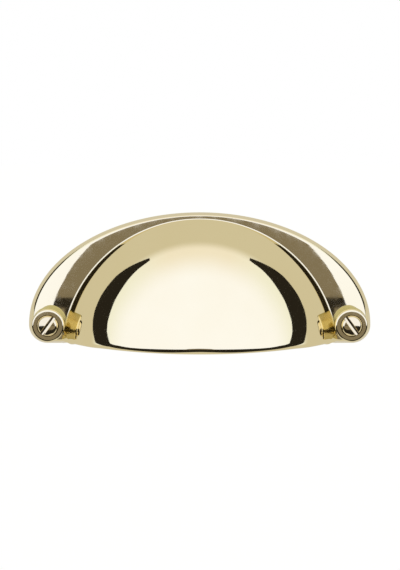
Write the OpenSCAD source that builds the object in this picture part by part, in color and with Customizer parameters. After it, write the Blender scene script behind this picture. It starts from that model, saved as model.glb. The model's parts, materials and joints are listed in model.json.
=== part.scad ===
// Cup pull for a drawer front: one cast hood with a crescent flange and two
// screw bosses, and the pair of slotted round-head wood screws that hold it.
// Millimetres, Z up. The back of the casting lies in the plane Y = 0, the user
// stands at -Y, and the origin is midway between the two screws.

/* [Fixing] */
// Distance between the two screws
screw_centres = 88.9; // [84:0.1:104]
// Outside diameter of each screw boss
boss_d = 9.8; // [9:0.1:12]
// How far each boss stands out from the face of the flange
boss_proud = 4.2; // [2.5:0.1:6]
// Rounding of the outer rim of each boss
boss_round = 0.65; // [0.4:0.05:1.1]

/* [Flange] */
// Thickness of the flange beside the dome
flange_t = 2.8; // [2:0.1:4]
// Height of the flange above the line of the screws
flange_rise = 32.6; // [30:0.1:36]
// Distance from the line of the screws down to the lower edge of the flange
flange_drop = 6.4; // [5.4:0.05:8]
// Rounding of the lower corners of the flange
corner_r = 5.4; // [4:0.1:6]
// Width of flange left outside each boss
end_margin = 1.25; // [0.5:0.05:3]
// How far the sloping edge of the flange runs in over its thickness
edge_slope = 1.2; // [0.5:0.1:1.6]
// Flat part of the flange face, measured out from the foot of the dome
crown_start = 5.6; // [4:0.1:8]
// Radius of the crown by which the ears fall back beyond the flat part
crown_r = 32; // [20:1:60]

/* [Dome] */
// Distance from the back plane to the front of the cap that the dome is cut from
projection = 23.5; // [19:0.1:28]
// Wall of the hollow dome
wall = 2.5; // [1.8:0.1:3.2]
// Gap between a boss and the foot of the dome on the line of the screws
foot_gap = 0.15; // [0.05:0.05:1]
// Width of flange left above the foot of the dome at the top
top_ledge = 1.7; // [1.6:0.1:4]
// Distance from the line of the screws down to the lip
lip_drop = 5.5; // [5.2:0.05:8]
// How far the rounded lip stands proud of the wall on each side
lip_bead = 0.02; // [0.02:0.01:0.2]
// Radius of the cove at the foot of the dome
cove_r = 0.6; // [0.4:0.1:1.5]

/* [Screws] */
// Diameter of the head at its rim
head_d = 6.2; // [5.6:0.1:6.6]
// Height of the rounded head above its rim
head_rise = 1.1; // [0.6:0.1:1.6]
// Full angle of the countersink
sink_angle = 82; // [75:1:90]
// Diameter of the plain neck under the head
neck_d = 3.5; // [3:0.1:4]
// How far the neck runs out past the back plane before the thread starts
neck_out = 0.2; // [0.1:0.1:2]
// Mean diameter of the threaded part
thread_d = 3; // [2.4:0.1:3.1]
// Length of the screw from the rim of its head
screw_length = 19; // [16:0.5:32]
// Length of the point
point_length = 4; // [2:0.5:6]
// Width of the slot
slot_w = 1.3; // [0.8:0.1:1.5]
// Depth of the slot below the top of the head
slot_depth = 1; // [0.8:0.1:1.8]
// Lean of the slots from upright, mirrored from side to side
slot_lean = 36; // [0:1:80]

/* [Clearances] */
// Radial clearance of the neck in its hole
neck_clearance = 0.25; // [0.1:0.05:0.4]
// Radial clearance of the head on its countersink
seat_clearance = 0.03; // [0.02:0.01:0.1]
// Radial room between the rim of the head and the mouth of the countersink
mouth_margin = 0.15; // [0.1:0.05:0.5]

/* [Hidden] */
$fn = 120;

// Reach of blanks and cutting shapes past the faces that they meet
past = 1;

half_centres = screw_centres / 2;
boss_r = boss_d / 2;
boss_top = flange_t + boss_proud;
flange_half = half_centres + boss_r + end_margin;
ear_x = flange_half - corner_r;
ear_z = corner_r - flange_drop;
edge_c = flange_rise - ear_z;
blank_t = flange_t + cove_r;
blank_slope = edge_slope * blank_t / flange_t;

// The foot of the dome is the circle in the face of the flange that leaves
// foot_gap beside each boss and top_ledge at the top.
foot_half = half_centres - boss_r - foot_gap;
foot_top = flange_rise - top_ledge;
axis_drop = (foot_half * foot_half - foot_top * foot_top) / (2 * foot_top);
foot_r = foot_top + axis_drop;

// The dome is the cap of a sphere on that foot.
cap_h = projection - flange_t;
ball_r = (foot_r * foot_r + cap_h * cap_h) / (2 * cap_h);
ball_back = ball_r - projection;
mid_r = ball_r - wall / 2;
cap_root = flange_t * 0.1;

// The lip is a ring around the upright axis, centred in the wall.
lip_r = wall / 2 + lip_bead;
lip_z = lip_r - lip_drop;
lip_run = sqrt(mid_r * mid_r - (lip_z + axis_drop) * (lip_z + axis_drop));

// The cove is tangent to the flange and bites a little into the dome, so that
// its upper edge stays crisp.
cove_bite = cove_r * 0.015;
cove_h = flange_t + cove_r;
cove_reach = ball_r + cove_r - cove_bite;
cove_x = sqrt(cove_reach * cove_reach - (cove_h + ball_back) * (cove_h + ball_back));

// Heads sit in their countersinks with seat_clearance all round.
head_r = head_d / 2;
neck_r = neck_d / 2;
hole_r = neck_r + neck_clearance;
mouth_r = head_r + mouth_margin;
sink_slope = tan(sink_angle / 2);
sink_depth = (mouth_r - hole_r) / sink_slope;
rim_h = boss_top - (mouth_margin - seat_clearance) / sink_slope;
tip_h = rim_h - screw_length;
far = 4 * screw_centres;

// Turns a piece drawn on the XY plane so that its height points to the user.
module facing() {
    rotate([90, 0, 0])
        children();
}

// Ball about the centre of the dome.
module ball(r) {
    translate([0, ball_back, -axis_drop])
        sphere(r);
}

// Solid cap of the dome, rooted in the flange and ended at the lip.
module cap() {
    intersection() {
        ball(ball_r);
        translate([-far / 2, cap_root - flange_t - far, lip_z])
            cube(far);
    }
}

// Hollow behind the dome, open below the lip.
module hollow() {
    ball(ball_r - wall);
    translate([0, ball_back, lip_z - far])
        cylinder(h = far, r = lip_run + lip_r / 2);
}

// Rounded lip along the lower edge of the wall, ended at the back plane.
module lip() {
    intersection() {
        translate([0, ball_back, lip_z])
            rotate_extrude()
                translate([lip_run, 0])
                    circle(lip_r, $fn = 32);
        translate([-far / 2, -far, -far / 2])
            cube(far);
    }
}

// Blank of the flange: the half ellipse above, the round lower corners and
// the strip between them, all with the same sloping edge.
module flange_blank() {
    translate([0, ear_z, 0]) {
        intersection() {
            scale([1, edge_c / flange_half, 1])
                cylinder(h = blank_t, r1 = flange_half, r2 = flange_half - blank_slope);
            translate([-far / 2, 0, -past])
                cube(far);
        }
        for (side = [-1, 1])
            translate([side * ear_x, 0, 0])
                cylinder(h = blank_t, r1 = corner_r, r2 = corner_r - blank_slope);
        rotate([90, 0, 90])
            translate([0, 0, -ear_x])
                linear_extrude(2 * ear_x)
                    polygon([
                        [past, 0],
                        [-corner_r, 0],
                        [-corner_r + blank_slope, blank_t],
                        [past, blank_t]
                    ]);
    }
}

// Front of the flange, turned about the axis of the dome: the cove at the foot,
// a flat, and a crown by which the ears fall back.
module flange_face() {
    flat_r = foot_r + crown_start;
    translate([0, -axis_drop, 0])
        rotate_extrude()
            union() {
                difference() {
                    polygon([
                        [0, -ball_back],
                        [cove_x, -past],
                        [cove_x, cove_h]
                    ]);
                    translate([cove_x, cove_h])
                        circle(cove_r, $fn = 48);
                }
                translate([0, -past])
                    square([flat_r, flange_t + past]);
                intersection() {
                    translate([flat_r, flange_t - crown_r])
                        circle(crown_r);
                    translate([flat_r - past, -past])
                        square([crown_r / 2, flange_t + past]);
                }
            }
}

module flange() {
    facing()
        intersection() {
            flange_blank();
            flange_face();
        }
}

// One boss, turned about the axis of its screw.
module boss() {
    rotate_extrude()
        union() {
            square([boss_r - boss_round, boss_top]);
            square([boss_r, boss_top - boss_round]);
            translate([boss_r - boss_round, boss_top - boss_round])
                circle(boss_round, $fn = 48);
        }
}

// Clearance hole and countersink for one screw.
module screw_hole() {
    translate([0, 0, -past])
        cylinder(h = boss_top + 2 * past, r = hole_r, $fn = 48);
    translate([0, 0, boss_top - sink_depth])
        cylinder(h = 2 * sink_depth, r1 = hole_r, r2 = 2 * mouth_r - hole_r, $fn = 72);
}

module at_screws() {
    for (side = [-1, 1])
        facing()
            translate([side * half_centres, 0, 0])
                rotate([0, 0, side * slot_lean])
                    children();
}

module cup_hood() {
    color("goldenrod")
        difference() {
            union() {
                difference() {
                    union() {
                        cap();
                        flange();
                    }
                    hollow();
                }
                lip();
                at_screws()
                    boss();
            }
            at_screws()
                screw_hole();
        }
}

// Half section of one screw, drawn along its axis with the head upwards.
module screw_section() {
    polygon([
        [0, tip_h],
        [thread_d / 2, tip_h + point_length],
        [thread_d / 2, -neck_out],
        [neck_r, -neck_out],
        [neck_r, rim_h - (head_r - neck_r) / sink_slope],
        [head_r, rim_h],
        [0, rim_h]
    ]);
    translate([0, rim_h]) {
        square([head_r - head_rise, head_rise]);
        intersection() {
            translate([head_r - head_rise, 0])
                circle(head_rise, $fn = 48);
            square([head_r, head_rise]);
        }
    }
}

module screw() {
    difference() {
        rotate_extrude($fn = 72)
            screw_section();
        translate([-slot_w / 2, -head_d, rim_h + head_rise - slot_depth])
            cube([slot_w, 2 * head_d, 2 * slot_depth]);
    }
}

module mounting_screws() {
    color("gold")
        at_screws()
            screw();
}

cup_hood();
mounting_screws();
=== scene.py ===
# %% [markdown]
# # A polished brass cup pull
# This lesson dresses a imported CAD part: a cast brass hood that is screwed to a drawer
# front, and its two slotted screws. The CAD holds the sizes. Here the surfaces get the
# soft edges, the finishes and the studio that a mirror polish needs.

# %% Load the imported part
import json
import math

import bmesh
import bpy
import numpy as np
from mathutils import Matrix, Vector


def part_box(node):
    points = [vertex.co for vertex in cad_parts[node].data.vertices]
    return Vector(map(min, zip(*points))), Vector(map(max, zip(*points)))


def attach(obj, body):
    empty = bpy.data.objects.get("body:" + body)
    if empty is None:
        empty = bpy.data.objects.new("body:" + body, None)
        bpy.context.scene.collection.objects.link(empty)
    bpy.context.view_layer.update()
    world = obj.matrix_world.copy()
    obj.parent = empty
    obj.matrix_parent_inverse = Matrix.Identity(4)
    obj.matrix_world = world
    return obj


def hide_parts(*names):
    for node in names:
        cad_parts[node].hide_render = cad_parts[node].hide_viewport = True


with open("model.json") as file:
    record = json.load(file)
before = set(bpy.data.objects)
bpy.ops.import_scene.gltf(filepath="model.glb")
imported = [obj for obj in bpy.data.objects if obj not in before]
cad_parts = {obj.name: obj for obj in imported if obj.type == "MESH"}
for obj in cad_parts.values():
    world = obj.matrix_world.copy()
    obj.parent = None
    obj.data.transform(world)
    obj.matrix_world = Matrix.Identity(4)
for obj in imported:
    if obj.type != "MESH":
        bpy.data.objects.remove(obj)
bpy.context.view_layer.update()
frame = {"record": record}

MM = 0.001

# %% [markdown]
# ## Driving sizes
# The overall sizes are read from the CAD nodes, and the screw spacing from the record, so
# that the dressed part cannot drift away from them. All sizes below are in millimetres. The
# back of the pull lies in the plane Y = 0, and "height" means the distance in front of it.

# %% Sizes from the frame
hood_low, hood_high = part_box("cup_hood")
screws_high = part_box("mounting_screws")[1]
mounts = {mount["name"]: mount for mount in frame["record"]["mounts"]}

half_length = hood_high.x / MM
rise = hood_high.z / MM
flange_low = hood_low.z / MM
screw_x = mounts["screw_pair"]["dims"]["spacing_x_mm"] / 2
screw_tip = screws_high.y / MM
print(f"half length {half_length:.2f}, rise {rise:.2f}, screws at {screw_x:.2f} mm from the middle")

# %% [markdown]
# ## The dome is a cap of a ball
# Seen from the front, the foot of the dome is a circle that just clears both bosses and
# leaves a narrow ledge at the top. The cap on that circle gives the ball's radius. Its
# axis points to the user and passes below the line of the screws.

# %% Work out the ball
wall = 2.5
flange_t = 2.8
projection = 23.5
boss_r = 4.9
foot_gap = 0.15
top_ledge = 1.7

foot_half = screw_x - boss_r - foot_gap
foot_top = rise - top_ledge
axis_drop = (foot_half**2 - foot_top**2) / (2 * foot_top)
foot_r = foot_top + axis_drop
cap_h = projection - flange_t
ball_r = (foot_r**2 + cap_h**2) / (2 * cap_h)
ball_back = ball_r - projection
inner_r = ball_r - wall
print(f"ball radius {ball_r:.2f} mm, centre {ball_back:.2f} mm behind the back plane")

# %% [markdown]
# ## One height for every point of the front
# Dome, flat and crown are all turned about the same axis, so one function of the distance
# from that axis gives the front of the whole casting. A sculpted or merged mesh would be
# quicker to make, but a mirror finish shows each of its dents, and a function has none.

# %% Height of the front
crown_start = 5.6
crown_r = 32.0
flat_r = foot_r + crown_start


def front_height(reach):
    """Height of the dome or of the flange at a distance from the axis of the dome."""
    dome = np.sqrt(np.maximum(ball_r**2 - reach**2, 0)) - ball_back
    crown = flange_t - crown_r + np.sqrt(crown_r**2 - np.clip(reach - flat_r, 0, crown_r) ** 2)
    return np.where(reach < foot_r, dome, crown)


def reach_of(x, z):
    """Distance of a point of the front view from the axis of the dome."""
    return np.hypot(x, z + axis_drop)


ear_height = front_height(reach_of(half_length, 0.0))
print(f"the face falls back from {flange_t} mm to {float(ear_height):.2f} mm at the ears")

# %% [markdown]
# ## The cove
# Between dome and flange the casting has a fine cove, which a polishing wheel runs along. A
# Bevel modifier could round the corner, but this cove gets finer towards the top. It is an
# arc that touches dome and flange, so two right-angled triangles give its ends.

# %% Ends of a cove
cove_r = 0.6


def cove_at(radius):
    """Distances from the axis at which a cove of a radius leaves the dome and meets the flange."""
    meets = np.sqrt((ball_r + radius) ** 2 - (flange_t + radius + ball_back) ** 2)
    return meets * ball_r / (ball_r + radius), meets


print("cove between", [round(float(end), 2) for end in cove_at(cove_r)], "mm from the axis")

# %% [markdown]
# ## Outline of the flange
# The flange is half an ellipse above, with round lower corners and a short straight edge
# that runs in to the lip. Its rim slopes, so the outline shrinks with height, a little less
# at the top, where the flange is narrow. A number from 0 to 3 runs along one half: 0 to 1
# over the ellipse from the top, 1 to 2 round the corner and 2 to 3 along the straight edge.

# %% Outline at any height
corner_r = 5.4
edge_slope = 1.2
top_relief = 0.35
ear_z = flange_low + corner_r
ear_x = half_length - corner_r
edge_ratio = (rise - ear_z) / half_length


def outline(run, height, inner_end):
    """Front view of the sloping rim at a height: x and z for each run along one half."""
    bow = np.clip(run, 0, 1) * math.pi / 2
    shrink = edge_slope * (1 - top_relief * np.cos(bow) ** 2) * height / flange_t
    bend = np.clip(run - 1, 0, 1) * math.pi / 2
    straight = np.clip(run - 2, 0, 1)
    corner = corner_r - shrink
    x_bow = (half_length - shrink) * np.sin(bow)
    z_bow = ear_z + (half_length - shrink) * edge_ratio * np.cos(bow)
    x_bend = ear_x + corner * np.cos(bend) + (inner_end - ear_x) * straight
    z_bend = ear_z - corner * np.sin(bend)
    return np.where(run < 1, x_bow, x_bend), np.where(run < 1, z_bow, z_bend)


for height in (0.0, flange_t):
    sample_x, sample_z = outline(np.array([0, 1]), height, 0)
    print(f"outline at height {height}: top {sample_z[0]:.2f}, side {sample_x[1]:.2f} mm")

# %% [markdown]
# ## Columns across the casting
# The mesh is a strip of columns. Each column is one closed line around the wall: up the
# dome, over the cove and the flange, round the rim, across the back, into the hollow and
# under the lip. A grid of this kind follows the form, so it needs no subdivision. The
# columns fan out over the foot of the dome, closer together towards the lip.

# %% Fan of columns over the foot
lip_low = -5.5
lip_roll = 1.9
middle_r = ball_r - wall / 2
mouth_r = math.sqrt(inner_r**2 - ball_back**2)
lip_slope = math.asin((lip_low + lip_roll + axis_drop) / middle_r)
lip_out_z = ball_r * math.sin(lip_slope) - axis_drop
lip_in_z = inner_r * math.sin(lip_slope) - axis_drop
foot_end = math.asin((lip_out_z + axis_drop) / cove_at(cove_r)[0])
mouth_end = math.asin((lip_in_z + axis_drop) / mouth_r)

# Angles from the top to the end of the lip, with the number of columns between each two.
fan_turns = [math.pi / 2, math.radians(30), math.radians(13), math.radians(9.5), foot_end]
fan_counts = [100, 44, 26, 14]
spans = [np.linspace(a, b, n + 1)[1:] for a, b, n in zip(fan_turns, fan_turns[1:], fan_counts)]
turn = np.concatenate([[math.pi / 2], *spans])
share = (math.pi / 2 - turn) / (math.pi / 2 - foot_end)
print(len(turn), "columns in each half")

# %% [markdown]
# ## Where the columns meet the rim
# The upper columns lie on rays from the dome's axis. Below them rays would crowd at the
# corner, so there the fan is spread evenly round the corner and along the straight edge.

# %% Run of each column along the outline
ray_x, ray_z = np.cos(turn), np.sin(turn) / edge_ratio
lift = (axis_drop + ear_z) / edge_ratio
inside = (ray_z * lift) ** 2 - (ray_x**2 + ray_z**2) * (lift**2 - half_length**2)
ray = (ray_z * lift + np.sqrt(inside)) / (ray_x**2 + ray_z**2)
bow_run = np.arcsin(np.clip(ray * ray_x / half_length, 0, 1)) / (math.pi / 2)

upper, side, corner, foot = np.cumsum(fan_counts)
run = bow_run.copy()
run[upper:side + 1] = np.linspace(bow_run[upper], 1, side - upper + 1)
run[side:corner + 1] = np.linspace(1, 2, corner - side + 1)
run[corner:foot + 1] = np.linspace(2, 3, foot - corner + 1)
print("the last ray ends at run", round(float(bow_run[upper]), 2))

# %% [markdown]
# ## Rows of the dome and the cove
# Each stretch of a column is drawn in the front view and lifted to its true height. The
# first row after a change of form lies close to it, which keeps the shading of one form
# from spilling into the next. The cove is finer at the top than at the ears.

# %% Helpers that lay out rows
support = 0.04


def blend(start, end, count, first=None):
    """Points from start to end for every column, in count steps, the first of a given length."""
    steps = np.linspace(0, 1, count + 1)[None, :]
    if first is not None:
        span = np.maximum(np.hypot(*np.subtract(end, start)), 1e-6)[:, None]
        near = np.minimum(first / span, 1 / count)
        steps = np.concatenate([0 * near, near + (1 - near) * np.linspace(0, 1, count)[None, :]], axis=1)
    return tuple(a[:, None] * (1 - steps) + b[:, None] * steps for a, b in zip(start, end))


def front(x, z):
    """Points of the front surface from their front view."""
    return np.stack([x, -front_height(reach_of(x, z)), z], axis=-1)


def lip_line(radius, end_x):
    """Points along one edge of the lip, on a ball about the dome's centre."""
    ring = radius * math.cos(lip_slope)
    heading = share * math.asin(end_x / ring)
    x = ring * np.sin(heading)
    y = ball_back - ring * np.cos(heading)
    z = np.full_like(x, radius * math.sin(lip_slope) - axis_drop)
    return np.stack([x, y, z], axis=-1)


print("the first row lies", support, "mm from a change of form")

# %% Rows of the dome and the cove
dome_rows, cove_rows = 56, 10
finest = 0.5
cove_size = cove_r * (finest + (1 - finest) * share)
cove_in, cove_out = cove_at(cove_size)
lip_out = lip_line(ball_r, cove_in[-1] * math.cos(foot_end))
lip_in = lip_line(inner_r, mouth_r * math.cos(mouth_end))

foot_x, foot_z = cove_in * np.cos(turn), cove_in * np.sin(turn) - axis_drop
dome = front(*blend((lip_out[:, 0], lip_out[:, 2]), (foot_x, foot_z), dome_rows, support))

steepest = np.arcsin((cove_out - cove_in) / cove_size)
tilt = steepest[:, None] * np.linspace(1, 0, cove_rows + 1)[None, :]
cove_reach = cove_out[:, None] - cove_size[:, None] * np.sin(tilt)
cove_h = flange_t + cove_size[:, None] * (1 - np.cos(tilt))
cove_x = cove_reach * np.cos(turn)[:, None]
cove_z = cove_reach * np.sin(turn)[:, None] - axis_drop
cove = np.stack([cove_x, -cove_h, cove_z], axis=-1)
print(f"cove radius {cove_size[0]:.2f} mm at the top, {cove_size[-1]:.2f} mm at the ears")

# %% [markdown]
# ## Rows of the flange and its rim
# Buffing breaks the sharp front edge of the rim into a narrow facet with rounded edges, and
# that facet draws the fine bright line along the outline. A Bevel modifier could make it, but
# its width here follows the slope of the rim, which changes along the outline.

# %% Sharp edge between face and rim
end_room = 0.45
facet_share, most_room = 0.4, 0.3
rounds = 8
inner_end = cove_out[-1] * math.cos(foot_end) + end_room
# The edge lies where face and rim have the same height, and each round comes closer to it.
edge_h = np.full_like(turn, flange_t)
for _ in range(rounds):
    edge_h = front_height(reach_of(*outline(run, edge_h, inner_end)))
edge_x, edge_z = outline(run, edge_h, inner_end)
edge = np.stack([edge_x, -edge_h, edge_z], axis=-1)
rim_run = np.hypot(*np.subtract(outline(run, 0 * edge_h, inner_end), (edge_x, edge_z)))
to_foot = (cove[:, -1] - edge)[:, [0, 2]]
room = np.linalg.norm(to_foot, axis=-1)
facet_in = np.minimum(facet_share * rim_run, most_room * room)
print(f"facet {facet_in.min():.2f} to {facet_in.max():.2f} mm wide in the face")

# %% Rows of the face, the facet and the rim
face_rows, bend_rows, rim_rows = 14, 6, 3
# Shares of the facet's width: its lower edge, the reach of its rounding, and the part rounded.
facet_drop, soft_part, bend_part = 0.9, 1.2, 0.15


def on_face(inward):
    """Points of the face at a distance inward from the sharp rim."""
    step = to_foot * (inward / room)[:, None]
    return front(edge_x + step[:, 0], edge_z + step[:, 1])


def on_rim(drop):
    """Points of the sloping rim below its sharp edge."""
    x, z = outline(run, edge_h - drop, inner_end)
    return np.stack([x, drop - edge_h, z], axis=-1)


def bend(start, knee, end):
    """Rows of a curve from start to end that leaves and arrives along the knee."""
    steps = np.linspace(0, 1, bend_rows + 1)[None, :, None]
    first, middle, last = start[:, None], knee[:, None], end[:, None]
    return (1 - steps) ** 2 * first + 2 * steps * (1 - steps) * middle + steps**2 * last


upper_knee, lower_knee = on_face(facet_in), on_rim(facet_drop * facet_in)
facet = lower_knee - upper_knee
soft_in = on_face(soft_part * facet_in)
soft_low = on_rim(soft_part * facet_in)
face_end = (soft_in[:, 0], soft_in[:, 2])
face = front(*blend((cove[:, -1, 0], cove[:, -1, 2]), face_end, face_rows, support))
upper_bend = bend(soft_in, upper_knee, upper_knee + bend_part * facet)
lower_bend = bend(lower_knee - bend_part * facet, lower_knee, soft_low)
rounded = np.concatenate([upper_bend, lower_bend], axis=1)

low_h = edge_h - soft_part * facet_in
rim_h = low_h[:, None] * np.linspace(1, 0, rim_rows + 1)[None, :]
rim_x, rim_z = outline(run[:, None] + 0 * rim_h, rim_h, inner_end)
rim = np.stack([rim_x, -rim_h, rim_z], axis=-1)
print("rows of face, facet and rim:", face.shape[1], rounded.shape[1], rim.shape[1])

# %% [markdown]
# ## Rows of the back and the hollow
# The back is flat, to lie on the drawer front. The hollow for the fingers is a ball about the
# same centre as the dome, so the wall is even. A Solidify modifier could give the dome its
# wall, but a second ball is as easy, and its edges lie where the lip and the back need them.

# %% Back and hollow
back_rows, inner_rows = 8, 44
mouth_turn = math.pi / 2 - share * (math.pi / 2 - mouth_end)
mouth_x, mouth_z = mouth_r * np.cos(mouth_turn), mouth_r * np.sin(mouth_turn) - axis_drop
back_x, back_z = blend((rim[:, -1, 0], rim[:, -1, 2]), (mouth_x, mouth_z), back_rows)
back = np.stack([back_x, 0 * back_x, back_z], axis=-1)

in_x, in_z = blend((mouth_x, mouth_z), (lip_in[:, 0], lip_in[:, 2]), inner_rows)
in_h = np.sqrt(np.maximum(inner_r**2 - reach_of(in_x, in_z) ** 2, 0)) - ball_back
inner = np.stack([in_x, -in_h, in_z], axis=-1)
print(f"deepest point of the hollow {in_h.max():.2f} mm in front of the back")

# %% [markdown]
# ## Section of the lip
# The lip is half an ellipse across the wall, so that it starts to roll under gently, as a
# buffed edge does; a half circle would be simpler, but its mirror image bends too suddenly.
# Towards the sides the ellipse gets squarer. It is measured from the chord between the two
# edges of the lip. A small fillet fills the corner beside the flange.

# %% Rows under the lip
lip_r = wall / 2
edge_rows = 2 * bend_rows + 1
lip_rows = cove_rows + face_rows + edge_rows + rim_rows + back_rows


def ease(start, end):
    """A smooth step along the columns, between two shares of the way to the end of the lip."""
    step = np.clip((share - start) / (end - start), 0, 1)
    return (step * step * (3 - 2 * step))[:, None]


lip_steps = np.linspace(0, 1, lip_rows + 1)
sweep = math.pi * (lip_steps - 1)
heading = np.arctan2(lip_out[:, 0] + lip_in[:, 0], 2 * ball_back - lip_out[:, 1] - lip_in[:, 1])
outward = np.stack([np.sin(heading), -np.cos(heading), 0 * heading], axis=-1)
upright = np.array([0.0, 0.0, 1.0])
chord = lip_in[:, None] * (1 - lip_steps)[None, :, None] + lip_out[:, None] * lip_steps[None, :, None]

squarer, squarer_by = 1.1, 0.5
power = 2 / (2 + squarer * np.minimum(share / squarer_by, 1))[:, None]
across = np.sign(np.cos(sweep)) * np.abs(np.cos(sweep)) ** power
across = lip_r * (across - (2 * lip_steps - 1))
# The fillet is a trace at first and grows just before the end of the lip.
fillet = 0.2 * ease(0.6, 0.75) + ease(0.88, 0.97)
down = lip_roll * np.abs(np.sin(sweep)) ** power
down = down + fillet * np.sin(sweep) ** 2
swing_out = across * math.cos(lip_slope) + down * math.sin(lip_slope)
swing_up = across * math.sin(lip_slope) - down * math.cos(lip_slope)
plain = swing_out[:, :, None] * outward[:, None] + swing_up[:, :, None] * upright
print(f"the middle of the lip lies {-(chord + plain)[0, :, 2].min():.2f} mm below the screws")

# %% [markdown]
# ## Ends of the lip
# At both ends of the pull the section of the lip changes smoothly into the section of the
# flange over the last few millimetres. The last column then closes on itself, so the casting
# has no separate end caps, and the reflections run through.

# %% Run the lip out into the flange
run_out = 0.10
along = np.stack([np.cos(heading), np.sin(heading), 0 * heading], axis=-1)
end_line = [cove[-1], face[-1, 1:], rounded[-1, 1:], rim[-1, 1:], back[-1, 1:]]
end_line = np.concatenate(end_line)[::-1]
end_off = end_line - chord[-1]
end_out, end_along, end_up = ((end_off @ axis)[None, :, None] for axis in (outward[-1], along[-1], upright))
ending = end_out * outward[:, None] + end_along * along[:, None] + end_up * upright
fade = ease(1 - run_out, 1)[:, :, None]
lip = chord + plain * (1 - fade) + ending * fade

stretches = [dome, *(part[:, 1:] for part in (cove, face, rounded, rim, back, inner)), lip[:, 1:-1]]
half = np.concatenate(stretches, axis=1)
mirrored = half[:0:-1] * np.array([-1.0, 1.0, 1.0])
columns = np.concatenate([mirrored, half])
print("columns and rows:", columns.shape[:2])

# %% [markdown]
# ## From columns to a closed mesh
# Neighbouring columns are joined by quads. Points that fall together at the ends are
# merged, which closes the strip, and the faces are turned outwards. The back and the hollow
# are marked for another finish, because only the show side of such a casting is polished.

# %% Helpers for meshes and objects


def close_up(mesh, merge_mm):
    """Merge points that fall together, turn the faces outwards and count the edges left open."""
    work = bmesh.new()
    work.from_mesh(mesh)
    bmesh.ops.remove_doubles(work, verts=work.verts, dist=merge_mm * MM)
    bmesh.ops.dissolve_degenerate(work, edges=work.edges, dist=merge_mm * MM)
    bmesh.ops.recalc_face_normals(work, faces=work.faces)
    open_edges = sum(1 for line in work.edges if len(line.link_faces) != 2)
    work.to_mesh(mesh)
    work.free()
    print(mesh.name, "faces:", len(mesh.polygons), "open edges:", open_edges)


def new_object(name, mesh):
    """Add an object with this mesh to the scene."""
    made = bpy.data.objects.new(name, mesh)
    bpy.context.scene.collection.objects.link(made)
    return made


# %% Make the mesh of the casting
POLISHED, AS_CAST, SATIN, DULL_PAINTED_SHADE = 0, 1, 2, 3
column_count, row_count = columns.shape[:2]
back_start = dome_rows + cove_rows + face_rows + edge_rows + rim_rows
inner_end_row = back_start + back_rows + inner_rows

quads, finish_of_face = [], []
for column in range(column_count - 1):
    for row in range(row_count):
        following = (row + 1) % row_count
        a, b = column * row_count, (column + 1) * row_count
        quads.append((a + row, a + following, b + following, b + row))
        finish_of_face.append(AS_CAST if back_start <= row < inner_end_row else POLISHED)

casting_mesh = bpy.data.meshes.new("hood_casting")
casting_mesh.from_pydata((columns.reshape(-1, 3) * MM).tolist(), [], quads)
casting_mesh.polygons.foreach_set("material_index", finish_of_face)
close_up(casting_mesh, merge_mm=0.002)
casting = new_object("hood_casting", casting_mesh)

# %% [markdown]
# ## Turned shapes
# Bosses, screw holes and screw heads are all turned about a screw's axis. A Screw modifier
# could spin them, but a few lines of code also give the order of the faces, by which they
# get their finishes. A profile is a list of radius and height pairs; a radius of zero becomes
# a single point.

# %% Helpers that turn a profile
turned_steps = 96


def solid(name, points, faces):
    """A mesh from points and faces, with the faces turned outwards."""
    mesh = bpy.data.meshes.new(name)
    mesh.from_pydata(points, [], faces)
    work = bmesh.new()
    work.from_mesh(mesh)
    bmesh.ops.recalc_face_normals(work, faces=work.faces)
    work.to_mesh(mesh)
    work.free()
    return mesh


def turned(name, profile, centres):
    """A closed mesh turned about axes along Y through each centre, from (radius, height) pairs."""
    points, faces = [], []
    for centre in centres:
        rings = []
        for radius, height in profile:
            count = 1 if radius == 0 else turned_steps
            rings.append(range(len(points), len(points) + count))
            for step in range(count):
                angle = 2 * math.pi * step / turned_steps
                x, z = centre + radius * math.sin(angle), radius * math.cos(angle)
                points.append((x * MM, -height * MM, z * MM))
        for first, second in zip(rings, rings[1:]):
            for step in range(turned_steps):
                after = (step + 1) % turned_steps
                corners = [first[step % len(first)], first[after % len(first)],
                           second[after % len(second)], second[step % len(second)]]
                faces.append(list(dict.fromkeys(corners)))
    return solid(name, points, faces)


def arc(centre_r, centre_h, radius, start, end, count):
    """Profile points on an arc, with angles in degrees from the radius direction."""
    angles = np.radians(np.linspace(start, end, count + 1))
    return [(centre_r + radius * math.cos(a), centre_h + radius * math.sin(a)) for a in angles]


print("steps in a turn:", turned_steps)

# %% [markdown]
# ## Bosses and countersinks
# Each boss is a turned post with a rounded rim, rooted in the flange, and a countersunk hole
# runs through it. No wheel reaches the sides of a boss beside the dome, and none the
# countersinks, so their faces are marked for finishes of their own.

# %% Turn the posts and the drills
boss_proud, boss_round = 4.2, 0.65
boss_top = flange_t + boss_proud
boss_root = 1.0
round_steps = 12
past = 1.0
head_r = 3.1
neck_r = 1.75
sink_angle = math.radians(82)
sink_slope = math.tan(sink_angle / 2)
mouth_margin, seat_clearance, neck_clearance = 0.15, 0.03, 0.25
hole_r = neck_r + neck_clearance
sink_r = head_r + mouth_margin
sink_h = boss_top - (sink_r - hole_r) / sink_slope
drill_r, drill_h = 2 * sink_r - hole_r, 2 * boss_top - sink_h
screw_places = (-screw_x, screw_x)

post = [(0, boss_root), (boss_r, boss_root), (boss_r, boss_top - boss_round - support)]
post += arc(boss_r - boss_round, boss_top - boss_round, boss_round, 0, 90, round_steps)
post += [(boss_r - boss_round - support, boss_top), (0, boss_top)]
hole = [(0, -past), (hole_r, -past), (hole_r, sink_h), (drill_r, drill_h), (0, drill_h)]
posts = new_object("boss_posts", turned("boss_posts", post, screw_places))
holes = new_object("screw_holes", turned("screw_holes", hole, screw_places))
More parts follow.
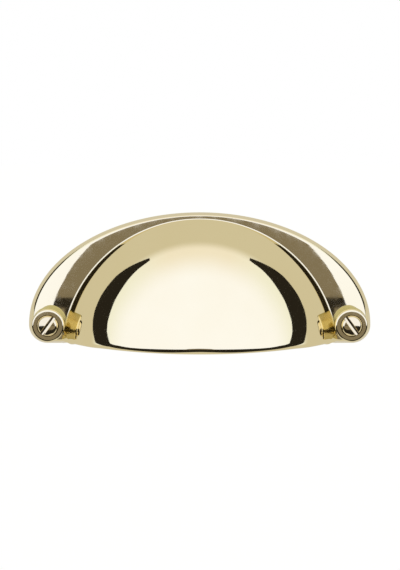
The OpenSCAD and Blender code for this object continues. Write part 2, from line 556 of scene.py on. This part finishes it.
# The faces come ring by ring, and the second ring of each post is its side.
for face in posts.data.polygons:
    if face.index // turned_steps % (len(post) - 1) == 1:
        face.material_index = SATIN
# The holes and countersinks get the dull brass, whose dark colour is painted shade.
holes.data.polygons.foreach_set("material_index", [DULL_PAINTED_SHADE] * len(holes.data.polygons))
print(f"hole {2 * hole_r:.2f} mm, mouth {2 * sink_r:.2f} mm wide, sunk {boss_top - sink_h:.2f} mm")

# %% [markdown]
# ## Joining and drilling
# The exact Boolean joins both posts to the casting and then drills both holes. The casting is
# fine enough that the joints stay clean; slivers that a Boolean leaves are merged away, and
# edges sharper than a set angle are kept crisp.

# %% Join the bosses and drill the holes
crisp = math.radians(30)


def settle(obj, name):
    """Turn an object with its modifiers into a plain mesh object, and remove the original."""
    graph = bpy.context.evaluated_depsgraph_get()
    mesh = bpy.data.meshes.new_from_object(obj.evaluated_get(graph))
    bpy.data.objects.remove(obj)
    mesh.name = name
    return new_object(name, mesh)


for cutter, operation in ((posts, "UNION"), (holes, "DIFFERENCE")):
    joint = casting.modifiers.new(operation.lower(), "BOOLEAN")
    joint.object = cutter
    joint.operation = operation
    joint.solver = "EXACT"
hood = settle(casting, "cup_hood_polished")
for spent in (posts, holes):
    bpy.data.objects.remove(spent)
close_up(hood.data, merge_mm=0.001)
hood.data.shade_smooth()
hood.data.set_sharp_from_angle(angle=crisp)
print("hood triangles:", sum(len(p.vertices) - 2 for p in hood.data.polygons))

# %% [markdown]
# ## Nodes by one small function
# Materials and Geometry Nodes trees are built the same way: a node is added with its
# settings, and each input gets either a value or the output that feeds it. Colours are
# written as sRGB hex values, as a colour picker gives them, and Blender wants them linear.

# %% Helpers for nodes and colours


def add_node(tree, kind, inputs=None, **settings):
    """Add a node, set its properties, and set or link its inputs."""
    node = tree.nodes.new(kind)
    for name, value in settings.items():
        setattr(node, name, value)
    for key, value in (inputs or {}).items():
        if isinstance(value, bpy.types.NodeSocket):
            tree.links.new(value, node.inputs[key])
        else:
            node.inputs[key].default_value = value
    return node


def linear(code):
    """An sRGB hex colour as linear red, green, blue and alpha."""
    parts = [int(code[i:i + 2], 16) / 255 for i in (1, 3, 5)]
    return (*[c / 12.92 if c <= 0.04045 else ((c + 0.055) / 1.055) ** 2.4 for c in parts], 1.0)


print("mid grey in linear light:", round(linear("#808080")[0], 3))

# %% [markdown]
# ## Brass
# Brass is a pale yellow metal. What tells it from a computer's mirror is small: the tone
# drifts over the casting, the polish has patches of haze, and the surface is not quite true.
# One function makes them all from noise on Object coordinates, with sizes in millimetres: a
# drift of about 14 mm, as in the alloy of a small casting, and haze of about 3 mm, as the
# strokes of a wheel overlap. A long swell and a fine grain of relief are given by finish.

# %% Recipe of the brass
drift_mm, haze_mm = 14, 3
# Nearly all values of a noise lie between these two.
noise_low, noise_high = 0.3, 0.7


def brass(name, pale, deep, haze, swell, grain):
    """Brass with two tones, a range of roughness, and two reliefs, each a (size, height) in mm."""
    made = bpy.data.materials.new(name)
    made.use_nodes = True
    tree = made.node_tree
    shader = tree.nodes["Principled BSDF"]
    shader.inputs["Metallic"].default_value = 1.0
    place = add_node(tree, "ShaderNodeTexCoord").outputs["Object"]
    drift = add_node(tree, "ShaderNodeTexNoise", {
        "Vector": place, "Scale": 1 / (drift_mm * MM), "Detail": 2.0}).outputs["Fac"]
    tone = add_node(tree, "ShaderNodeMix", {
        "Factor": drift, "A": linear(pale), "B": linear(deep)}, data_type="RGBA")
    tree.links.new(tone.outputs["Result"], shader.inputs["Base Color"])
    patches = add_node(tree, "ShaderNodeTexNoise", {
        "Vector": place, "Scale": 1 / (haze_mm * MM), "Detail": 4.0}).outputs["Fac"]
    rough = add_node(tree, "ShaderNodeMapRange", {
        "Value": patches, "From Min": noise_low, "From Max": noise_high,
        "To Min": haze[0], "To Max": haze[1]})
    tree.links.new(rough.outputs["Result"], shader.inputs["Roughness"])
    waves = add_node(tree, "ShaderNodeTexNoise", {
        "Vector": place, "Scale": 1 / (swell[0] * MM), "Detail": 0.0}).outputs["Fac"]
    soft = add_node(tree, "ShaderNodeBump", {
        "Height": waves, "Distance": swell[1] * MM, "Strength": 1.0}).outputs["Normal"]
    specks = add_node(tree, "ShaderNodeTexNoise", {
        "Vector": place, "Scale": 1 / (grain[0] * MM), "Detail": 3.0}).outputs["Fac"]
    fine = add_node(tree, "ShaderNodeBump", {
        "Height": specks, "Distance": grain[1] * MM, "Strength": 1.0, "Normal": soft}).outputs["Normal"]
    tree.links.new(fine, shader.inputs["Normal"])
    return made


print(f"the tone drifts over {drift_mm} mm, the haze over {haze_mm} mm")

# %% [markdown]
# ## Finishes of the pull
# The show side was ground, buffed to a mirror and lacquered. The other faces were left as the
# foundry or the drill left them, which is what makes a real casting look made. The grain of
# each is drawn coarser than the real one, whose marks of some hundredths of a millimetre are
# too fine to show in a picture of the whole pull.

# %% Five finishes
# Buffed and lacquered: a clear mirror with a breath of haze, and a swell one only feels.
polished_brass = brass("lacquered_polished_brass", "#F5E5B0", "#F2E0A8", (0.015, 0.045),
                       (9.0, 0.0015), (0.8, 0.0001))
# Straight from the sand: a matt, darker yellow with a pebbled skin.
cast_brass = brass("as_cast_brass", "#DCC58A", "#BFA566", (0.32, 0.5), (4.0, 0.05), (0.35, 0.05))
# Turned from bar and polished in a barrel: nearly a mirror, a little hazier than the hood.
screw_brass = brass("turned_polished_brass", "#F2E0AC", "#EBD69E", (0.03, 0.07),
                    (3.0, 0.001), (0.5, 0.0003))
# Rubbed with a fine abrasive by hand: soft highlights, and an olive tone at grazing angles.
satin_brass = brass("satin_brass", "#DDCF9E", "#D2C490", (0.2, 0.28), (3.0, 0.004), (0.3, 0.003))
satin_shader = satin_brass.node_tree.nodes["Principled BSDF"]
satin_shader.inputs["Specular Tint"].default_value = linear("#D6D3B0")
# Drilled and left: dull with tool marks. Its dark colour is painted shade of the holes and countersinks,
# darker than the brass itself.
dull_brass_painted_shade = brass("machined_brass_painted_shade", "#8F7B4E", "#75643E", (0.35, 0.5), (2.0, 0.01), (0.2, 0.02))

for finish in (polished_brass, cast_brass, satin_brass, dull_brass_painted_shade):
    hood.data.materials.append(finish)
for index, finish in enumerate(hood.data.materials):
    print(finish.name, "faces:", sum(1 for face in hood.data.polygons if face.material_index == index))

# %% [markdown]
# ## Slotted head
# The head has a very shallow crown that runs into a rounded shoulder without a corner, as a
# form tool turns it. Part of a ball would be quicker, but its rim would be a sharp line in the
# polish. Head and plain neck are one profile. The screw stands on its own axis here, with
# height still measured in front of the back plane of the pull.

# %% Turn the head
head_rise, crown_ball = 1.1, 36.0
crown_steps = 6
neck_out = 0.2
root_r = 1.25
head_h = boss_top - (mouth_margin - seat_clearance) / sink_slope
top_h = head_h + head_rise
shoulder = (2 * crown_ball * head_rise - head_rise**2 - head_r**2) / (2 * (crown_ball - head_r))
crown_tilt = math.degrees(math.asin((head_r - shoulder) / (crown_ball - shoulder)))

head_profile = [(root_r, -neck_out), (neck_r, -neck_out)]
head_profile += [(neck_r, head_h - (head_r - neck_r) / sink_slope)]
head_profile += arc(head_r - shoulder, head_h, shoulder, 0, 90 - crown_tilt, round_steps)
head_profile += arc(0, top_h - crown_ball, crown_ball, 90 - crown_tilt, 90, crown_steps)[1:-1]
head_profile += [(0, top_h)]
head = new_object("screw_head", turned("screw_head", head_profile, (0,)))
print(f"shoulder {shoulder:.2f} mm, crown tilts by {crown_tilt:.1f} degrees at its edge")

# %% [markdown]
# ## Slot
# A slitting saw cuts the slot. Its worn teeth leave a shallow kerf along the floor, which
# catches one dark and one bright line, and the edges are broken. A bar with that section is
# made longer than the head is wide, and a Boolean takes it away.

# %% Cut the slot
slot_w, slot_depth, slot_lean = 1.3, 1.0, math.radians(36)
kerf_w, kerf_depth = 0.4, 0.085
broken = 0.1
half_w, floor_h = slot_w / 2, top_h - slot_depth
wall_h = top_h - broken
flank = [(kerf_w, floor_h), (half_w, floor_h), (half_w, wall_h), (half_w + past, wall_h + past)]
bar = [(0, floor_h - kerf_depth)] + flank + [(-x, h) for x, h in reversed(flank)]
corners = [(x * MM, -h * MM, end * 2 * head_r * MM) for end in (-1, 1) for x, h in bar]
count = len(bar)
sides = [(i, (i + 1) % count, (i + 1) % count + count, i + count) for i in range(count)]
ends = [tuple(range(count)), tuple(range(count, 2 * count))]
slot = new_object("slot_bar", solid("slot_bar", corners, sides + ends))

cut = head.modifiers.new("slot", "BOOLEAN")
cut.object = slot
cut.operation = "DIFFERENCE"
cut.solver = "EXACT"
head = settle(head, "slotted_head")
bpy.data.objects.remove(slot)
print("slotted head faces:", len(head.data.polygons))

# %% [markdown]
# ## Wood-screw thread by Geometry Nodes
# A thread follows a rule, so a node tree makes it. A Screw modifier would do for a straight
# bolt, but a wood screw's thread fades in at the neck and runs out at a point. The tree has
# named inputs for all the sizes, in metres.

# %% Inputs of the screw tree
tree = bpy.data.node_groups.new("screw_pair", "GeometryNodeTree")
lengths = ["Root radius", "Crest radius", "Pitch", "Thread start", "Tip", "Point length", "Spacing"]
kinds = {"Geometry": "NodeSocketGeometry", **{label: "NodeSocketFloat" for label in lengths}}
kinds |= {"Slot turn": "NodeSocketFloat", "Finish": "NodeSocketMaterial"}
sockets = {}
for label, kind in kinds.items():
    sockets[label] = tree.interface.new_socket(label, in_out="INPUT", socket_type=kind).identifier
tree.interface.new_socket("Geometry", in_out="OUTPUT", socket_type="NodeSocketGeometry")
given = add_node(tree, "NodeGroupInput").outputs
print("inputs of the screw tree:", ", ".join(sockets))

# %% [markdown]
# A flat grid is wrapped round the axis. Across it runs the angle, and along it the laps of
# the thread. Its rows are sheared by one pitch per turn, so that they follow the helix and
# the crest is a clean line. Rows past the ends are held at the start and at the tip.

# %% Depth along the screw
pitch = 1.3
rows_per_turn = 10
blunt = 0.1
turns = math.ceil((screw_tip - neck_out) / pitch) + 1
sheet = add_node(tree, "GeometryNodeMeshGrid", {
    "Size X": 1.0, "Size Y": 1.0, "Vertices X": turned_steps + 1, "Vertices Y": turns * rows_per_turn + 1})
position = add_node(tree, "GeometryNodeInputPosition").outputs[0]
spot = add_node(tree, "ShaderNodeSeparateXYZ", {0: position}).outputs
around = add_node(tree, "ShaderNodeMath", {0: spot["X"], 1: 0.5}, operation="ADD").outputs[0]
laps = add_node(tree, "ShaderNodeMath", {
    0: spot["Y"], 1: float(turns), 2: turns / 2 - 1}, operation="MULTIPLY_ADD").outputs[0]
helix = add_node(tree, "ShaderNodeMath", {0: laps, 1: around}, operation="ADD").outputs[0]
depth = add_node(tree, "ShaderNodeMath", {
    0: helix, 1: given["Pitch"], 2: given["Thread start"]}, operation="MULTIPLY_ADD").outputs[0]
depth = add_node(tree, "ShaderNodeClamp", {
    "Value": depth, "Min": given["Thread start"], "Max": given["Tip"]}).outputs[0]
# The last tenth of a millimetre is drawn together in one point, so that the tip is closed.
near_tip = add_node(tree, "ShaderNodeMath", {
    0: given["Tip"], 1: blunt * MM}, operation="SUBTRACT").outputs[0]
at_tip = add_node(tree, "ShaderNodeMath", {0: depth, 1: near_tip}, operation="GREATER_THAN").outputs[0]
depth = add_node(tree, "GeometryNodeSwitch", {
    "Switch": at_tip, "False": depth, "True": given["Tip"]}, input_type="FLOAT").outputs[0]
print("laps of the grid:", turns)

# %% [markdown]
# The ridge of the thread rises and falls once a lap, with a narrow flat at its root and
# another on its crest. Over the first pitch it fades in, and over the point the whole
# radius falls to nothing.

# %% Radius along the screw
root_flat, crest_from = 1 / 22, 9.5 / 22
distance = add_node(tree, "ShaderNodeMath", {0: laps, 1: 0.5}, operation="PINGPONG").outputs[0]
ridge = add_node(tree, "ShaderNodeMapRange", {
    "Value": distance, "From Min": root_flat, "From Max": crest_from}).outputs[0]
full = add_node(tree, "ShaderNodeMath", {
    0: given["Thread start"], 1: given["Pitch"]}, operation="ADD").outputs[0]
fade_in = add_node(tree, "ShaderNodeMapRange", {
    "Value": depth, "From Min": given["Thread start"], "From Max": full}).outputs[0]
stand = add_node(tree, "ShaderNodeMath", {0: ridge, 1: fade_in}, operation="MULTIPLY").outputs[0]
radius = add_node(tree, "ShaderNodeMapRange", {
    "Value": stand, "To Min": given["Root radius"], "To Max": given["Crest radius"]}).outputs[0]
point = add_node(tree, "ShaderNodeMath", {
    0: given["Tip"], 1: given["Point length"]}, operation="SUBTRACT").outputs[0]
taper = add_node(tree, "ShaderNodeMapRange", {
    "Value": depth, "From Min": point, "From Max": given["Tip"], "To Min": 1.0, "To Max": 0.0}).outputs[0]
radius = add_node(tree, "ShaderNodeMath", {0: radius, 1: taper}, operation="MULTIPLY").outputs[0]
print("nodes so far:", len(tree.nodes))

# %% [markdown]
# Each point of the grid is set at its depth and radius and turned about the axis. The head
# comes in as the tree's own geometry, and merging closes the thread along its seam and joins
# it to the neck.

# %% Wrap the thread and join the head
weld = 0.0005
flat_point = add_node(tree, "ShaderNodeCombineXYZ", {"Y": depth, "Z": radius}).outputs[0]
angle = add_node(tree, "ShaderNodeMath", {0: around, 1: 2 * math.pi}, operation="MULTIPLY").outputs[0]
wrapped = add_node(tree, "ShaderNodeVectorRotate", {
    "Vector": flat_point, "Angle": angle}, rotation_type="Y_AXIS").outputs[0]
thread = add_node(tree, "GeometryNodeSetPosition", {"Geometry": sheet.outputs["Mesh"], "Position": wrapped})
screw = add_node(tree, "GeometryNodeJoinGeometry")
tree.links.new(thread.outputs["Geometry"], screw.inputs[0])
tree.links.new(given["Geometry"], screw.inputs[0])
closed = add_node(tree, "GeometryNodeMergeByDistance", {
    "Geometry": screw.outputs[0], "Distance": weld * MM})
print("nodes so far:", len(tree.nodes))

# %% [markdown]
# Two points carry the finished screw to both places. A hand of -1 or +1 from the point's
# index mirrors the place and the lean of the slot. The instances are made real, because the
# export drops instances.

# %% Place the pair
index = add_node(tree, "GeometryNodeInputIndex").outputs[0]
hand = add_node(tree, "ShaderNodeMath", {0: index, 1: 2.0, 2: -1.0}, operation="MULTIPLY_ADD").outputs[0]
half_way = add_node(tree, "ShaderNodeMath", {0: given["Spacing"], 1: 0.5}, operation="MULTIPLY").outputs[0]
place_x = add_node(tree, "ShaderNodeMath", {0: hand, 1: half_way}, operation="MULTIPLY").outputs[0]
place = add_node(tree, "ShaderNodeCombineXYZ", {"X": place_x}).outputs[0]
places = add_node(tree, "GeometryNodePoints", {"Count": 2, "Position": place})
lean_y = add_node(tree, "ShaderNodeMath", {0: hand, 1: given["Slot turn"]}, operation="MULTIPLY").outputs[0]
lean = add_node(tree, "ShaderNodeCombineXYZ", {"Y": lean_y}).outputs[0]
rotation = add_node(tree, "FunctionNodeEulerToRotation", {0: lean}).outputs[0]
pair = add_node(tree, "GeometryNodeInstanceOnPoints", {
    "Points": places.outputs[0], "Instance": closed.outputs[0], "Rotation": rotation})
real = add_node(tree, "GeometryNodeRealizeInstances", {"Geometry": pair.outputs[0]})
dressed = add_node(tree, "GeometryNodeSetMaterial", {
    "Geometry": real.outputs[0], "Material": given["Finish"]})
add_node(tree, "NodeGroupOutput", {0: dressed.outputs[0]})
print("nodes in the screw tree:", len(tree.nodes))

# %% [markdown]
# The tree runs as a modifier on the head. Its inputs are set by the identifiers of their
# sockets, before the head is first evaluated, and the result becomes a plain mesh.

# %% Run the tree and settle the screws
crest_r = 1.75
point_length = 4.0
sizes = {"Root radius": root_r, "Crest radius": crest_r, "Pitch": pitch, "Thread start": neck_out,
         "Tip": screw_tip, "Point length": point_length, "Spacing": 2 * screw_x}
maker = head.modifiers.new("screw_pair", "NODES")
maker.node_group = tree
for label, size in sizes.items():
    maker[sockets[label]] = size * MM
maker[sockets["Slot turn"]] = -slot_lean
maker[sockets["Finish"]] = screw_brass
screws = settle(head, "slotted_screws")
close_up(screws.data, merge_mm=weld)
screws.data.shade_smooth()
screws.data.set_sharp_from_angle(angle=crisp)

# %% [markdown]
# ## Everything rides on the frame
# The dressed pieces stand for the CAD solids, which stay hidden in place for collision. The
# pull has no joints, so both ride on the one body that there is.

# %% Name what each piece stands for
stands_for = [(hood, "cup_hood", "polished_brass"), (screws, "mounting_screws", "screw_brass")]
for piece, node, slot_name in stands_for:
    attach(piece, "root")
    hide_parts(node)
    print(piece.name, "stands for", node)

# %% [markdown]
# ## A light tent
# Polished metal shows the studio more than itself, so the studio is built for it. The pull
# stands in a grey tent, and the front of the tent is a wide round window of cool daylight,
# which the brass turns to cream. Only reflections see the tent: lamps would do for a matt
# object, but in a mirror they would be small hard spots.

# %% Helpers for the studio
grey_level = 0.69


def for_reflections(obj):
    """Make an object part of the studio that only mirrored rays see."""
    obj.visible_camera = False
    obj.visible_diffuse = False
    obj.visible_shadow = False


def glow(name, colour):
    """A material that shines evenly in a linear colour."""
    made = bpy.data.materials.new(name)
    made.use_nodes = True
    tree = made.node_tree
    tree.nodes.clear()
    shine = add_node(tree, "ShaderNodeEmission", {"Color": (*colour, 1.0), "Strength": 1.0})
    add_node(tree, "ShaderNodeOutputMaterial", {"Surface": shine.outputs[0]})
    return made


print("grey of the studio:", grey_level)

# %% [markdown]
# The tent's cloth is coloured by direction from its middle. Towards the user it turns from
# grey to hazy light and then to full daylight, each by a smooth step; the haze is cooler at
# the sides. Below a line under the lens the window ends.

# %% Colour of the tent
haze_light = (0.975, 1.0, 1.26, 1.0)
side_light = (0.975, 1.09, 1.45, 1.0)
daylight = (1.10, 1.23, 1.95, 1.0)
# Directions from the middle of the tent: Y towards the user is negative, and Z is up.
window_starts, haze_ends, clear_from = -0.15, -0.285, -0.64
low_from, low_to = -0.24, -0.23
cool_from, cool_to = 0.25, 0.75
trace_of_blue = 1.04
grey = (grey_level, grey_level, grey_level * trace_of_blue)
tent_cloth = glow("tent_cloth", grey)
tree = tent_cloth.node_tree
position = add_node(tree, "ShaderNodeTexCoord").outputs["Object"]
facing = add_node(tree, "ShaderNodeVectorMath", {0: position}, operation="NORMALIZE").outputs[0]
spot = add_node(tree, "ShaderNodeSeparateXYZ", {0: facing}).outputs
aside = add_node(tree, "ShaderNodeMath", {0: spot["X"]}, operation="ABSOLUTE").outputs[0]
cooler = add_node(tree, "ShaderNodeMapRange", {
    "Value": aside, "From Min": cool_from, "From Max": cool_to}, interpolation_type="SMOOTHSTEP")
haze = add_node(tree, "ShaderNodeMix", {
    "Factor": cooler.outputs[0], "A": haze_light, "B": side_light}, data_type="RGBA")
clear = add_node(tree, "ShaderNodeMapRange", {
    "Value": spot["Y"], "From Min": haze_ends, "From Max": clear_from}, interpolation_type="SMOOTHSTEP")
pane = add_node(tree, "ShaderNodeMix", {
    "Factor": clear.outputs[0], "A": haze.outputs["Result"], "B": daylight}, data_type="RGBA")
rim_fade = add_node(tree, "ShaderNodeMapRange", {
    "Value": spot["Y"], "From Min": window_starts, "From Max": haze_ends},
    interpolation_type="SMOOTHSTEP")
low_end = add_node(tree, "ShaderNodeMapRange", {
    "Value": spot["Z"], "From Min": low_from, "From Max": low_to}, interpolation_type="SMOOTHSTEP")
window = add_node(tree, "ShaderNodeMath", {
    0: rim_fade.outputs[0], 1: low_end.outputs[0]}, operation="MULTIPLY")
cloth = add_node(tree, "ShaderNodeMix", {
    "Factor": window.outputs[0], "A": (*grey, 1.0), "B": pane.outputs["Result"]}, data_type="RGBA")
tree.links.new(cloth.outputs["Result"], tree.nodes["Emission"].inputs["Color"])
print("nodes in the cloth of the tent:", len(tree.nodes))

# %% Put up the tent
tent_r = 1.2
bpy.ops.mesh.primitive_uv_sphere_add(segments=96, ring_count=48, radius=tent_r)
tent = bpy.context.object
tent.name = "light_tent"
tent.data.materials.append(tent_cloth)
for_reflections(tent)
print("radius of the tent:", tent_r, "m")

# %% [markdown]
# ## Black strips
# A bright dome on a white ground has no outline, so a photographer hangs black strips at both
# sides. Their curved edges are worked out backwards from where the dark bands lie on the
# dome: each point of a band is a point of the strip, seen in a mirror of known slope.

# %% Hang the strips
black_cloth = glow("black_cloth", (0.021, 0.019, 0.019))


def card(name, corners, material):
    """A flat card in the studio, with its corners in millimetres."""
    mesh = bpy.data.meshes.new(name)
    points = [[v * MM for v in corner] for corner in corners]
    mesh.from_pydata(points, [], [tuple(range(len(corners)))])
    mesh.materials.append(material)
    for_reflections(new_object(name, mesh))


strip_x = 600
# Edges as (y, z) in millimetres: the front one going up, and the back one coming down.
strip_front = [(-857, -200), (-715, -170), (-521, -110), (-397, -30), (-289, 0), (-260, 40), (-240, 80),
               (-228, 140), (-226, 300), (-235, 420), (-241, 540), (-259, 710), (-290, 882), (-325, 1160)]
strip_back = [(-275, 1039), (-218, 857), (-176, 730), (-145, 638), (-124, 569), (-97, 466), (-83, 363),
              (-72, 266), (-72, 163), (-83, 105), (-102, 52), (-133, 0), (-165, -80), (-230, -200)]
for hand in (-1, 1):
    card("side_strip", [(hand * strip_x, y, z) for y, z in strip_front + strip_back], black_cloth)
print("strips hang", strip_x, "mm to each side")

# %% [markdown]
# ## Cards under the lens
# The flat faces of flange and bosses mirror the place just under the lens. Dark cards there
# make them brown instead of white, and a black gap between the cards gives the flange its
# dark wedge beside each boss.

# %% Set up the cards
dark_card = glow("dark_card", (0.24, 0.215, 0.2))
card_y = -600
gap_z = -98.3


def both_sides(half):
    """The corners of a shape with two like sides, from its right side from top to bottom."""
    return [(x, card_y, z) for x, z in half + [(-x, z) for x, z in reversed(half)]]


# Right-hand edges as (x, z) in millimetres, from top to bottom.
upper_card = [(15, -37), (30, -39.5), (50, -45), (70, -54), (85, -69.5), (96.5, -91.5)]
card("upper_card", both_sides(upper_card), dark_card)
card("card_gap", both_sides([upper_card[-1], (99, gap_z)]), black_cloth)
card("lower_card", both_sides([(112, gap_z), (112, -145)]), dark_card)
leg = [(77, gap_z), (88, gap_z), (88, -125), (77, -125)]
for hand in (-1, 1):
    card("gap_leg", [(hand * x, card_y + 1, z) for x, z in leg], black_cloth)
print("cards stand", -card_y, "mm in front")

# %% [markdown]
# ## Mat and sheet
# The lip rolls under and mirrors what lies in front below. A black mat there draws the dark
# line along the lip; its near edge bows away in the middle, where the line is thinnest. A grey
# sheet under the mat keeps the underside from going dark.

# %% Lay the mat and the sheet
mat_z, sheet_z, sheet_half = -200, -250, 1000
far_r, far_half, near_half, mat_steps = 1175, 69, 45, 24
near_r, bow, bow_half = 110, 80, 20
mat_far = [(far_r, azimuth) for azimuth in np.linspace(-far_half, far_half, mat_steps)]
mat_near = [(near_r + bow * math.exp(-(azimuth / bow_half) ** 2), azimuth)
            for azimuth in np.linspace(near_half, -near_half, mat_steps)]
mat = [(r * math.sin(math.radians(a)), -r * math.cos(math.radians(a))) for r, a in mat_far + mat_near]
card("black_mat", [(x, y, mat_z) for x, y in mat], black_cloth)
square = [(-1, -1), (1, -1), (1, 1), (-1, 1)]
grey_cloth = glow("grey_cloth", grey)
card("grey_sheet", [(x * sheet_half, y * sheet_half, sheet_z) for x, y in square], grey_cloth)
print("mat and sheet lie", -mat_z, "and", -sheet_z, "mm below")

# %% [markdown]
# ## Floor
# The floor is pale and lies well below the pull, so that no shadow falls on the picture. The
# camera sees it as white, by the Light Path node, and so do reflections and glass; soft light
# from it stays at a plain level.

# %% Lay the floor
floor_z, floor_size = -0.3, 8
lift_to_white = 0.45
floor_paint = bpy.data.materials.new("pale_matt_floor_paint")
floor_paint.use_nodes = True
tree = floor_paint.node_tree
tree.nodes.clear()
path = add_node(tree, "ShaderNodeLightPath").outputs
direct = add_node(tree, "ShaderNodeMath", {
    0: path["Is Camera Ray"], 1: path["Is Glossy Ray"]}, operation="MAXIMUM").outputs[0]
direct = add_node(tree, "ShaderNodeMath", {
    0: direct, 1: path["Is Transmission Ray"]}, operation="MAXIMUM").outputs[0]
matt = add_node(tree, "ShaderNodeBsdfDiffuse", {"Color": linear("#E8E8E6")}).outputs[0]
white = add_node(tree, "ShaderNodeEmission", {"Strength": lift_to_white}).outputs[0]
bright = add_node(tree, "ShaderNodeAddShader", {0: matt, 1: white}).outputs[0]
seen = add_node(tree, "ShaderNodeMixShader", {0: direct, 1: matt, 2: bright}).outputs[0]
add_node(tree, "ShaderNodeOutputMaterial", {"Surface": seen})
bpy.ops.mesh.primitive_plane_add(size=floor_size, location=(0, 0, floor_z))
floor = bpy.context.object
floor.name = "floor"
floor.data.materials.append(floor_paint)
print("floor at", floor_z, "m")

# %% [markdown]
# ## Background
# The world is white to the camera, and a soft grey light to matt faces. A lamp could light the
# back and the hollow too, but even light draws no hard shadow in them.

# %% Light the world
world = bpy.data.worlds.new("studio")
bpy.context.scene.world = world
world.use_nodes = True
tree = world.node_tree
path = add_node(tree, "ShaderNodeLightPath").outputs
direct = add_node(tree, "ShaderNodeMath", {
    0: path["Is Camera Ray"], 1: path["Is Glossy Ray"]}, operation="MAXIMUM").outputs[0]
direct = add_node(tree, "ShaderNodeMath", {
    0: direct, 1: path["Is Transmission Ray"]}, operation="MAXIMUM").outputs[0]
level = add_node(tree, "ShaderNodeMapRange", {"Value": direct, "To Min": grey_level, "To Max": 1.0})
tree.links.new(level.outputs[0], tree.nodes["Background"].inputs["Strength"])
tree.nodes["Background"].inputs["Color"].default_value = (1, 1, 1, 1)
print("world light:", grey_level)

# %% [markdown]
# ## Camera
# The photograph looks slightly down, straight from the front. The distance follows from how
# the outline narrows towards the top, and the lens from the size of the pull in the picture,
# which is 400 by 570 pixels.

# %% Place the camera
picture_w, picture_h = 400, 570
camera_far, camera_lift = 500.0, math.radians(9.0)
pixels_per_mm = 3.3845
middle_px = 199.7
aim = Vector((0, 0, 11.0)) * MM
eye = bpy.data.cameras.new("photo_camera")
eye.sensor_width = 36.0
eye.lens = pixels_per_mm * camera_far / picture_h * eye.sensor_width
eye.shift_x = (picture_w / 2 - middle_px) / picture_h
camera = bpy.data.objects.new("photo_camera", eye)
bpy.context.scene.collection.objects.link(camera)
backward = Vector((0, -math.cos(camera_lift), math.sin(camera_lift)))
camera.location = aim + backward * camera_far * MM
camera.rotation_mode = "QUATERNION"
camera.rotation_quaternion = (-backward).to_track_quat("-Z", "Y")
bpy.context.scene.camera = camera
bpy.context.scene.view_settings.view_transform = "Standard"
print("lens", round(eye.lens, 1), "mm")
